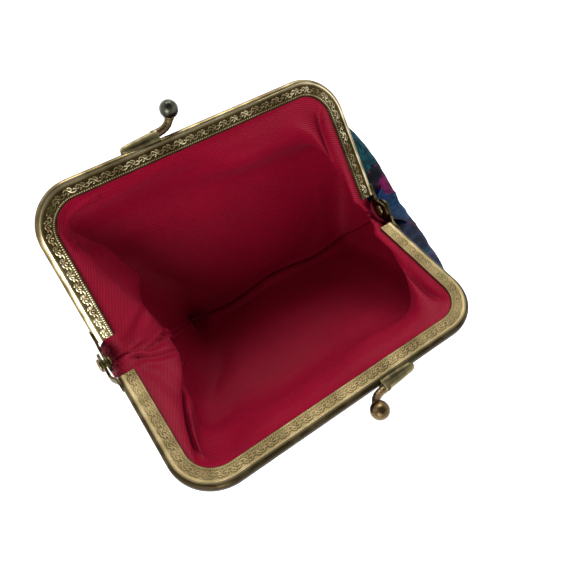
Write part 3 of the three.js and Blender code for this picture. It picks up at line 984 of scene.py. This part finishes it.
# The crest of the left fold: down the cloth, then its x, how far out and how high.
CREST = {
    REAR: np.array([
        (32.8, -33.0, 29.6, 12.6), (26.0, -32.7, 24.2, 9.7), (20.5, -31.6, 19.6, 7.0),
        (15.5, -29.9, 15.6, 4.3), (11.0, -27.9, 11.8, 2.0), (5.0, -25.4, 7.2, -0.9),
        (0.0, -24.4, 4.0, -2.6), (-5.0, -23.9, 1.7, -3.5), (-9.5, -23.7, 0.5, -4.1),
        (-38.0, -14.8, -3.0, -33.3),
    ]),
    FRONT: np.array([
        (32.8, -33.0, 29.6, 12.6), (28.0, -32.5, 26.0, 10.6), (22.5, -31.4, 21.4, 7.9),
        (18.0, -30.0, 17.6, 5.5), (14.0, -28.3, 14.2, 3.4), (9.5, -25.6, 10.2, 1.0),
        (5.0, -24.0, 6.6, -1.2), (0.0, -23.6, 3.8, -2.7), (-5.0, -23.6, 1.6, -3.6),
        (-9.5, -23.7, 0.5, -4.1), (-38.0, -14.8, 4.0, -33.3),
    ]),
}


def edges(side, v):
    """The left and right ends of a row of a lining panel: on the arms' lips, or on the seams."""
    ends = []
    for hand, seam in ((-1, LEFT_SEAM), (1, RIGHT_SEAM)):
        arm = on_plane(side, hand * HALF_WIDTH, max(v, ARM_START), LIP)
        if v >= ARM_START:
            ends.append(arm)
        elif v >= 0:
            ends.append(mixed(seam[0, 1:], arm, v / ARM_START))
        else:
            ends.append(read_table(seam, v)[:, 0])
    return ends


def wall_turn(side, v, height, hand):
    """Where the broad face turns into a side wall, at a height a little above the broad face's."""
    face = main_wall(side, np.array([v]), np.array([0.0]))[0]
    z = mixed(face[2], height, 0.3)
    lip = on_plane(side, 0.0, TOP, LIP)
    out = read_table(LINING_BULGE, z)[0, 0]
    left, right = read_table(LINING_SIDES, z)[:, 0]
    if hand < 0:
        low = ease(-v, 6.0, 28.0)
        across, forth = 0.955 - 0.22 * low, 0.93 + 0.05 * low
    else:
        high = ease(v, 18.0, 30.0)
        across, forth = 0.90 + 0.015 * high, 0.84 + 0.075 * high
    x = (left + right) / 2 + hand * (right - left) / 2 * across
    return np.array([x, mixed(CREASE_Y, lip[1], out * forth), z])


def left_stations(side, v, edge):
    """The left end of a row: up to the fold's crest, down behind it and round to the face."""
    x, out, height = read_table(CREST[side], v)[:, 0]
    top = np.array([x, side * out, height])
    top = mixed(top, edge + (0.3, side * 0.9, -0.1), ease(-v, 8.5, 11.0))
    middle = 0.5 * (edge + top)
    middle[2] += 0.35 * ease(v, -1.0, 5.0)
    turn = wall_turn(side, v, top[2], -1)
    drop = top + (-0.5, side * 0.7, -3.4)
    wall = 0.42 * drop + 0.58 * turn + (-0.3, 0.0, -1.0)
    if side == REAR:
        # A broad facet slopes down to the right, beside the rear half's left arm.
        facet = hump(v, -2.0, 14.0, 20.0, 30.0)
        drop = mixed(drop, top + (2.3, 0.9, -2.7), facet)
        wall = mixed(wall, top + (6.6, 2.2, -8.6), facet)
        near_bar = ease(v, 21.0, 28.0)
    else:
        # The fold lies over the broad face: a narrow valley, then the face rises beside it.
        tuck = hump(v, 2.5, 17.0, 26.5, 31.5)
        drop = mixed(drop, top + (-0.4, -0.2, -4.6), tuck)
        wall = mixed(wall, top + (1.3, -0.9, -1.2), tuck)
        turn = mixed(turn, top + (1.6, -3.4, -2.6), 0.5 * tuck)
        near_bar = ease(v, 24.0, 31.0)
    drop = mixed(drop, mixed(top, turn, 0.25), near_bar)
    wall = mixed(wall, mixed(top, turn, 0.6), near_bar)
    return [edge, middle, top, drop, wall, turn]


def right_stations(side, v, edge):
    """The right end of a row: a narrow roll inside the arm's lip, or a rounded turn to the seam."""
    turn = wall_turn(side, v, edge[2], 1)
    arm, by_bar = ease(v, -1.0, 5.0), ease(v, 14.0, 30.0)
    along = max(v, 0.0)
    shoulder = ease(TOP - along, 0.0, 5.0)

    def by_lip(inset, below):
        return on_plane(side, HALF_WIDTH - inset, along, LIP + below)

    hang = mixed(edge, turn, np.array([0.5, 0.55, 0.5]))
    hang = mixed(hang, by_lip(0.15, 3.1), arm)
    hang = mixed(hang, mixed(edge, turn, 0.6), by_bar)
    roll = mixed(edge, turn, np.array([0.12, 0.17, 0.15]))
    roll = mixed(roll, by_lip(1.3 * shoulder, 0.6 * shoulder), arm)
    roll = mixed(roll, mixed(edge, turn, 0.25), by_bar)
    # Further along the arm the broad face rises beside the roll, with a narrow valley between.
    tucked = hump(v, 9.0, 17.0, 24.0, 31.0)
    hang = mixed(hang, by_lip(1.9, 3.4), tucked)
    roll = mixed(roll, by_lip(0.9, 0.7), tucked)
    turn = mixed(turn, by_lip(4.2, 2.0), 0.75 * tucked)
    return [turn, hang, roll, edge]


def row_stations(side, v):
    """Points across one row of a lining panel, and how far across the flat cloth each lies."""
    edge_left, edge_right = edges(side, v)
    face = main_wall(side, np.full(4, v), np.array([-19.0, -5.0, 9.0, 22.0]))
    points = np.array([
        *left_stations(side, v, edge_left), *face, *right_stations(side, v, edge_right),
    ])
    run = lengths(points, 0.05)
    return mixed(-HALF_WIDTH, HALF_WIDTH, run / run[-1]), points


def rounded_domain(u, v):
    """Bends the square corners of the cloth's grid round the frame's corners."""
    dx, dy = np.abs(u) - REACH, v - RISE
    m = np.maximum(np.maximum(dx, dy), CORNER)
    inside = (dx > 0) & (dy > 0)
    bx = dx * np.sqrt(np.clip(1 - dy ** 2 / (2 * m ** 2), 0, 1))
    by = dy * np.sqrt(np.clip(1 - dx ** 2 / (2 * m ** 2), 0, 1))
    return np.where(inside, np.sign(u) * (REACH + bx), u), np.where(inside, RISE + by, v)


def inward(u, v):
    """How far a place on the cloth lies inside the frame's lip, or the seam; and the place on the
    lip that is nearest to it."""
    dx, dy = np.abs(u) - REACH, v - RISE
    corner = (dx > 0) & (dy > 0)
    far = np.hypot(np.maximum(dx, 1e-9), np.maximum(dy, 1e-9))
    side_gap, top_gap = HALF_WIDTH - np.abs(u), TOP - v
    gap = np.where(corner, CORNER - far, np.minimum(side_gap, top_gap))
    top_near = (~corner) & (top_gap < side_gap)
    lip_u = np.where(corner, np.sign(u) * (REACH + dx / far * CORNER),
                  np.where(top_near, u, np.sign(u) * HALF_WIDTH))
    lip_v = np.where(corner, RISE + dy / far * CORNER, np.where(top_near, TOP, v))
    return gap, lip_u, lip_v


def read_grid(sheet, u, v):
    """Points of a sheet of points that covers the flat cloth, at places between them."""
    rows, cols = sheet.shape[:2]
    fu = np.clip((u + HALF_WIDTH) / (2 * HALF_WIDTH), 0, 1) * (cols - 1)
    fv = np.clip((v - BOTTOM) / (TOP - BOTTOM), 0, 1) * (rows - 1)
    iu = np.minimum(fu.astype(int), cols - 2)
    iv = np.minimum(fv.astype(int), rows - 2)
    tu, tv = (fu - iu)[..., None], (fv - iv)[..., None]
    low = mixed(sheet[iv, iu], sheet[iv, iu + 1], tu)
    high = mixed(sheet[iv + 1, iu], sheet[iv + 1, iu + 1], tu)
    return mixed(low, high, tv)


def lining_points(side, u, v):
    """Points of a lining panel for a grid of places on the flat cloth."""
    sample_u = np.linspace(-HALF_WIDTH, HALF_WIDTH, 190)
    sheet = np.array([
        curve(sample_u, *row_stations(side, row)) for row in np.linspace(BOTTOM, TOP, 150)
    ])
    gap, lip_u, lip_v = inward(u, v)
    points = read_grid(sheet, u, v)
    lip = read_grid(sheet, lip_u, lip_v)
    near = (1 - smooth(gap / 4.0)) * smooth((lip_v - ARM_START) / 1.5) * (gap >= 0)
    points += near[..., None] * (on_plane(side, lip_u, lip_v, LIP) - lip)
    # Outside the lip the cloth lies in the channel. Past the arms' ends it bunches at the hinge,
    # and below that its seam allowance lies over or under the other panel's.
    spare = np.maximum(-gap, 0)
    bunched = lip.copy()
    bunched[..., 0] += (u - lip_u) * np.where(u < 0, 2.35, 2.0)
    bunched[..., 2] -= 1.5 * spare
    lapped = lip.copy()
    lapped[..., 1] -= side * 0.55 * spare * (1 if side == REAR else -0.3)
    lapped[..., 2] -= (0.22 if side == REAR else 0.6) * spare
    loose = mixed(bunched, lapped, smooth(-v)[..., None])
    tucked = on_plane(side, u, v, LIP - 0.07 * smooth(-gap / 0.5))
    outside = mixed(loose, tucked, smooth((lip_v - 3.6) / 1.2)[..., None])
    return np.where((gap < 0)[..., None], outside, points)


def flat_grid(spacing):
    """Places on a flat panel, from its channel edge in to the crease, bent round the corners."""
    us = np.concatenate([
        [-HALF_WIDTH - IN_CHANNEL, -HALF_WIDTH - IN_CHANNEL / 2],
        np.linspace(-HALF_WIDTH, HALF_WIDTH, int(2 * HALF_WIDTH / spacing) + 1),
        [HALF_WIDTH + IN_CHANNEL / 2, HALF_WIDTH + IN_CHANNEL],
    ])
    vs = np.concatenate([
        [TOP + IN_CHANNEL, TOP + IN_CHANNEL / 2],
        np.linspace(TOP, BOTTOM, int((TOP - BOTTOM) / spacing) + 1),
    ])
    u, v = np.meshgrid(us, vs)
    return rounded_domain(u, v)


def left_pinch(y, z):
    """How far the bag's left side is drawn in between the arms, below the hinge."""
    tall = smooth((z + HINGE_Z) / 9.0) * smooth((-2.0 - z) / 6.0)
    return 4.0 * bell(y, 0.0, 11.0) * tall


def seam_y(height):
    """Where the side seams lie at a height above the base."""
    return SEAM_BASE_Y * (HINGE_Z - np.minimum(height, HINGE_Z)) / HINGE_Z


def within_bag(points, side, share):
    """Draws points in, towards the middle, where they would come too near the bag's outside."""
    x, y, z = (points[..., k] for k in range(3))
    height = np.clip(z + HINGE_Z, 0, BAG_OUTLINES[-1, 0])
    outline = read_table(BAG_OUTLINES, height.ravel())
    left, right, front, rear, square = (row.reshape(x.shape) for row in outline)
    seam = seam_y(height)
    left = left + left_pinch(y, z) * smooth((-6.0 - x) / 10.0)
    middle = (left + right) / 2
    a = (x - middle) / ((right - left) / 2)
    b = (y - seam) / ((front if side == FRONT else rear) - seam)
    size = (np.abs(a) ** square + np.abs(b) ** square + 1e-12) ** (1 / square)
    soft = 0.035
    over = np.log1p(np.exp(np.clip((size - share) / soft, -30, 30))) * soft
    scale = (size - over) / size
    return np.stack([mixed(middle, x, scale), mixed(seam, y, scale), z], -1)


# Sharp folds in the left flap, each a line of (x, y) places, how deep it is and how wide.
CRUMPLES = [
    ([(-25.4, 6.0), (-28.4, 3.9), (-31.4, 2.0)], 1.0, 0.8),
    ([(-29.4, -1.8), (-26.6, -1.4), (-24.0, -0.6)], 0.8, 0.55),
    ([(-32.0, -2.4), (-28.0, -4.4), (-23.6, -5.0)], 0.8, 0.7),
    ([(-27.6, -16.0), (-29.5, -8.4), (-32.6, -3.0)], 0.8, 1.5),
]


def segment_distance(x, y, ax, ay, bx, by):
    """How far (x, y) lies from the segment between two places."""
    dx, dy = bx - ax, by - ay
    t = np.clip(((x - ax) * dx + (y - ay) * dy) / (dx * dx + dy * dy), 0, 1)
    return np.hypot(x - ax - t * dx, y - ay - t * dy)


def flap_share(points):
    """1 on the left fold's upper face, and 0 off it."""
    x, y, z = points[..., 0], points[..., 1], points[..., 2]
    plane = np.abs(y) * math.cos(OPEN) / math.sin(OPEN)
    return smooth((z - plane + 5.6) / 1.6) * smooth((-21.5 - x) / 3.0)


def crumple(points, share):
    """Presses the sharp folds into the flap."""
    x, y = points[..., 0].copy(), points[..., 1].copy()
    for line, depth, width in CRUMPLES:
        steps = zip(line[:-1], line[1:])
        far = np.minimum.reduce([segment_distance(x, y, *a, *b) for a, b in steps]) / width
        points[..., 2] -= share * depth * (np.exp(-far) - 0.35 * bell(far, 2.0, 1.0))


def gather(points, share):
    """Fine gathers that run in from both hinges."""
    x, y = points[..., 0].copy(), points[..., 1].copy()
    for hinge in (-35.0, 35.0):
        dx = x - hinge
        away = np.hypot(dx, y)
        turn = np.arctan2(y, -dx if hinge > 0 else np.abs(dx))
        reach = np.exp(-((away - 3.0).clip(0) / 4.5)) * smooth((away - 0.4) / 1.2)
        ripple = np.sin(turn * 13.0 + 1.3 * value_noise(points, 3.0, seed=61)) * reach * 0.3
        points[..., 2] += ripple * (np.abs(points[..., 2]) < 9) * share


def billow(points, side, u, v, gap):
    """The soft swells and hollows of the broad face."""
    x, z = points[..., 0], points[..., 2]
    deep = bell(z, -8.0, 11.0) * smooth(gap / 12.0) * smooth((z + 33.0) / 8.0)
    bowl = 1.8 * bell(x, -2.0, 16.0) - bell(x, 26.0, 11.0)
    points[..., 1] += side * deep * (bowl if side == REAR else 0.4 * bowl)
    slack = bell(z, 2.5, 7.0) * smooth((gap - 0.5) / 6.0)
    slack *= smooth((x + 26.0) / 12.0) * smooth((38.0 - x) / 10.0)
    where = 0.75 + 0.25 * smooth((x + 5.0) / 20.0) if side == FRONT else smooth((x + 8.0) / 20.0)
    points[..., 1] -= side * 3.6 * slack * where
    soft = patches(u + 3 + 11 * side, v + 7, 11.0, seed=51)
    firm = patches(u + 5, v * 0.5 + 9 * side, 5.0, seed=53)
    inner = smooth(gap / 8.0) * smooth((v - BOTTOM) / 7.0)
    points[..., 1] += side * (0.35 * soft + 0.12 * firm) * inner


def close_crease(points, side, u, v, gap):
    """Brings the panel's bottom edge to the wavering crease, with a soft fold just above it."""
    up = v - BOTTOM
    fold = bell(up, 2.2, 1.5) * smooth((gap - 1.0) / 8.0) * smooth((u + 30.0) / 26.0)
    points[..., 2] += (0.9 if side == FRONT else -0.25) * fold
    waver = 0.8 * np.sin(u * 0.19 + 0.8)
    points[..., 1] += waver * bell(up, 0.0, 5.0)
    points[..., 1] = mixed(points[..., 1], CREASE_Y + waver, smooth(1 - up / 3.0))
    points[..., 2] = mixed(points[..., 2], CREASE_Z, smooth(1 - up / 1.5))


def rib_places(points, side, flap):
    """Where each point lies in the twill. On the broad face the ribs run at a slight angle to the
    bar, and on the flap they run to the rear and are coarser."""
    angle = math.radians(1.5 if side == FRONT else -5)
    x, y = points[..., 0], points[..., 1]
    fall = -side * lengths(points)
    across = fall * math.cos(angle) - x * math.sin(angle) * side
    across = mixed(across, (x * 0.87 - y * 0.49) * 1.8, flap)
    along = x * math.cos(angle) + fall * math.sin(angle)
    return np.stack([across, along, 0 * x], -1)


def cloth_object(name, points, cloth, material):
    """A grid of points as cloth, with where each point lies in the weave and in the purse."""
    rows, cols = points.shape[:2]
    obj = new_object(name, points.reshape(-1, 3), grid_faces(rows, cols), material)
    set_attribute(obj, "cloth", cloth.reshape(-1, 3))
    set_attribute(obj, "rest", points.reshape(-1, 3))
    return obj


def lining_panel(name, side, spacing=0.55):
    """Half of the lining: up into the channel round its edge, and down to the crease."""
    u, v = flat_grid(spacing)
    # Below the hinge there is no channel, and the cloth ends at the seam.
    limit = HALF_WIDTH + 1.2 + (IN_CHANNEL - 1.2) * smooth((v + 6.0) / 4.0)
    u = np.where(v < ARM_START, np.clip(u, -limit, limit), u)
    points = lining_points(side, u, v)
    gap, _, lip_v = inward(u, v)
    free = smooth(np.where(lip_v > 0, gap / 5.0, 1.0))[..., None]
    points = mixed(points, within_bag(points, side, 0.955), free)
    flap = flap_share(points)
    loose = smooth(np.where(lip_v > 4.0, gap / 1.5, 1.0))
    crumple(points, flap * loose)
    gather(points, loose)
    billow(points, side, u, v, gap)
    close_crease(points, side, u, v, gap)
    cloth = rib_places(points, side, flap)
    points[..., 2] += HINGE_Z
    return cloth_object(name, points, cloth, TWILL)


# How far below the frame's plane the outer cloth leaves the channel, and the share of a column's
# length at which it reaches the base.
OUTER_LIP = 2.0
FLOOR_SHARE = 0.9


def body_point(side, a, b, height):
    """A point on the bag's outside: (a, b) is its direction from the seam's middle, from -1 to 1
    across and 0 to 1 out, on the outline at that height above the base."""
    left, right, front, rear, square = read_table(BAG_OUTLINES, height)
    size = (np.abs(a) ** square + np.abs(b) ** square) ** (1 / square)
    seam = seam_y(height)
    x = (left + right) / 2 + (right - left) / 2 * a / size
    y = mixed(seam, front if side == FRONT else rear, b / size)
    return np.stack([x, y, height - HINGE_Z], -1)


def outer_points(side, columns, rows):
    """The outer cloth, gathered under the frame's lip, down to the seam in the middle of its base.
    Columns run round the frame's U from seam to seam, and rows run down the cloth."""
    x, z, out, _, _ = inner_edge(spacing=0.25)
    gap = np.linspace(0, 1, 12)[:-1]
    u = np.concatenate([-35.8 + 2.3 * gap, x, 35.8 - 2.3 * gap[::-1]])
    v = np.concatenate([0.3 + 4.2 * gap, z, 0.3 + 4.2 * gap[::-1]])
    turn = np.concatenate([0 * gap + math.pi, out, 0 * gap])
    run = lengths(np.stack([u, v], -1))
    places = np.linspace(0, run[-1], columns)
    u, v, turn = (np.interp(places, run, w) for w in (u, v, turn))
    held = smooth((v - 2.5) / 2.0)
    loose = 1 - held

    def channel(r, n):
        return on_plane(side, u + r * np.cos(turn) * held, v + r * np.sin(turn) * held, n)

    lip = channel(0.0, OUTER_LIP)
    lip[:, 1] *= smooth(v / 3.0)
    mouth = [channel(1.8, OUTER_LIP + 0.03), channel(0.9, OUTER_LIP + 0.02), lip]
    for row in mouth:
        row[:, 2] -= np.where(u > 0, 3.0, 2.4) * loose
        row[:, 0] += np.where(u > 0, 2.4, 0.0) * loose

    a, b = u / 34.4, np.maximum(v - 0.3, 0) / TOP
    top = channel(0.0, FAR + 3.2)[:, 2] + HINGE_Z
    body = []
    for share in np.linspace(0, 1, rows):
        row = body_point(side, a, b, np.maximum(top * (1 - min(share / FLOOR_SHARE, 1)), 0.0))
        across = max(share - FLOOR_SHARE, 0) / (1 - FLOOR_SHARE)
        row[:, 1] = mixed(row[:, 1], SEAM_BASE_Y, across)
        row[:, 0] = mixed(12.0, row[:, 0], 1 - 0.06 * across)
        body.append(row)

    # Leave the lip outwards under the band, then ease on to the body's outline.
    flare = channel(1.1, FAR + 1.2)
    flare[:, 1] *= smooth(v / 3.0)
    flare[:, 0] += np.where(u > 0, 4.2, -1.2) * loose
    flare[:, 2] -= loose
    knots = np.stack([lip, flare, body[0]]).reshape(3, -1)
    neck = curve(np.linspace(0, 1, 14)[1:-1], [0.0, 0.35, 1.0], knots)
    return np.concatenate([mouth, neck.reshape(-1, columns, 3), body]), places


def outer_panel(name, side):
    """Half of the printed cloth, with pleats under the frame that die away down the bag."""
    grid, places = outer_points(side, columns=300, rows=96)
    run = lengths(grid)
    normal = np.cross(np.gradient(grid, axis=1), np.gradient(grid, axis=0))
    normal /= np.linalg.norm(normal, axis=2)[..., None] + 1e-9
    normal *= np.sign((normal * (grid - (8.0, 0.0, -12.0))).sum(2).mean())
    below = np.maximum(run - 3.0, 0)
    across = places[None] + 0 * below
    shift = 17.0 * side
    pleat = 1 - 2 * np.abs(patches(across + shift, 0.16 * below + 5, 2.6, seed=41))
    soft = patches(across + shift, 0.35 * below + 5, 6.5, seed=43)
    sag = patches(0.45 * across + shift, below + 5, 9.0, seed=47)
    fade = smooth(below / 2.0) * np.exp(-below / 13.0)
    low = smooth(below / 14.0) * smooth((grid[..., 2] + HINGE_Z - 1.0) / 6.0)
    move = (0.42 * pleat + 0.4 * soft) * fade + 0.5 * sag * low
    # The seams are pulled in, with small puckers beside them.
    edge = np.minimum(across, places[-1] - across)
    puckers = 0.12 * np.sin(run * 2.6) * bell(edge, 0.0, 2.2)
    move += (puckers - 0.45 * bell(edge, 0.0, 0.9)) * smooth(below / 3.0)
    grid = grid + normal * (move * smooth(edge / 0.8))[..., None]
    # The left side is drawn in between the arms, but for a shoulder round the hinge.
    x, y, z = (grid[..., k].copy() for k in range(3))
    grid[..., 0] += left_pinch(y, z) * smooth((-12.0 - x) / 14.0)
    grid[..., 0] -= 1.7 * bell(y, 0.0, 5.0) * bell(z, -3.4, 2.2) * (grid[..., 0] < -30)
    grid[..., 2] = np.maximum(z, -HINGE_Z) + HINGE_Z
    return cloth_object(name, grid, np.stack([across, below, 0 * run], -1), PRINT)


# The folds between the panels beside each hinge: distance from the hinge's axis, then x for the
# printed layer and for the lining layer.
FOLDS = {
    -1: np.array([
        (1.6, -35.3, -34.9), (3.0, -34.4, -33.6), (5.0, -32.2, -30.6), (9.0, -28.2, -26.6),
        (13.0, -25.7, -24.9), (19.0, -21.7, -21.3), (26.0, -17.6, -17.3),
    ]),
    1: np.array([
        (1.6, 36.2, 35.6), (3.0, 38.6, 36.8), (5.0, 42.2, 39.0), (9.0, 45.4, 43.0),
        (13.0, 46.8, 45.4), (19.0, 47.0, 46.2), (26.0, 45.2, 44.6),
    ]),
}


def side_fold(name, hand, layer):
    """A fan of cloth round the hinge's axis, tucked between the panels along their side seam. It
    shows where they draw apart as the purse shuts. Layer 1 is the print, and 2 the lining."""
    r = np.linspace(3.4 if layer == 1 else 2.6, 23.0, 40)[:, None]
    widest = curve(r.ravel(), [1.6, 4.0, 11.0, 19.0, 26.0], [78.0, 74.0, 52.0, 24.0, 12.0])
    angle = np.radians(widest)[:, None] * np.linspace(-1, 1, 41)
    x = read_table(FOLDS[hand], r.ravel())[layer - 1][:, None]
    x = x - hand * 0.7 * (1 - np.cos(angle)) * smooth((r - 3.0) / 6.0)
    y = SEAM_BASE_Y * r / HINGE_Z * np.cos(angle) + r * np.sin(angle)
    points = np.stack([x, y, -r * np.cos(angle) + HINGE_Z], -1)
    material, slot = (PRINT, "printed_satin") if layer == 1 else (TWILL, "crimson_twill")
    return cloth_object(name, points, np.stack([angle * r, r + 0 * x, 0 * x], -1), material)


# ---- the assembly ----

BRASSES = {FRONT: FRONT_BRASS, REAR: REAR_BRASS}
BALLS = {FRONT: BALL_FRONT, REAR: BALL_REAR}


def stand_for(obj, body, *nodes):
    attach(obj, body)
    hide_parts(*nodes)


for word, side in SIDES.items():
    body = word + "_half"
    stand_for(frame_half(word + "_channel", side, BRASSES[side]), body, word + "_frame")
    stand_for(ear(word + "_ears", EAR_X[word], side, EAR_BRASS), body, word + "_frame")
    stand_for(clasp_sleeve(word + "_sleeve", side), body, word + "_clasp_base")
    stand_for(clasp_stem(word + "_stem", side), body, word + "_clasp_stem")
    stand_for(clasp_ball(word + "_ball", side, BALLS[side]), body, word + "_clasp_ball")
    stand_for(packing_cord(word + "_twine", side), body, word + "_packing_cord")
    start, end = (Vector((on_plane(side, 0.0, TOP, n) + (0, 0, HINGE_Z)) * MM) for n in (20.0, 1.3))
    for kind, make, thickness in (("lining", lining_panel, 0.2), ("outer", outer_panel, 0.3)):
        panel = make(f"{word}_{kind}", side)
        weld(panel)
        thicken(panel, thickness, outward=kind == "lining")
        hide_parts(f"{kind}_{word}_panel")
        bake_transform(panel)

for hand, word in ((-1, "left"), (1, "right")):
    for layer, kind in ((1, "outer"), (2, "lining")):
        fold = side_fold(f"{word}_{kind}_fold", hand, layer)
        thicken(fold, 0.2, outward=kind == "lining")
        stand_for(fold, "bag", f"{kind}_front_panel", f"{kind}_rear_panel")

stand_for(rivet("rivet_left", -1), "front_half", "left_rivet")
stand_for(rivet("rivet_right", 1), "front_half", "right_rivet")
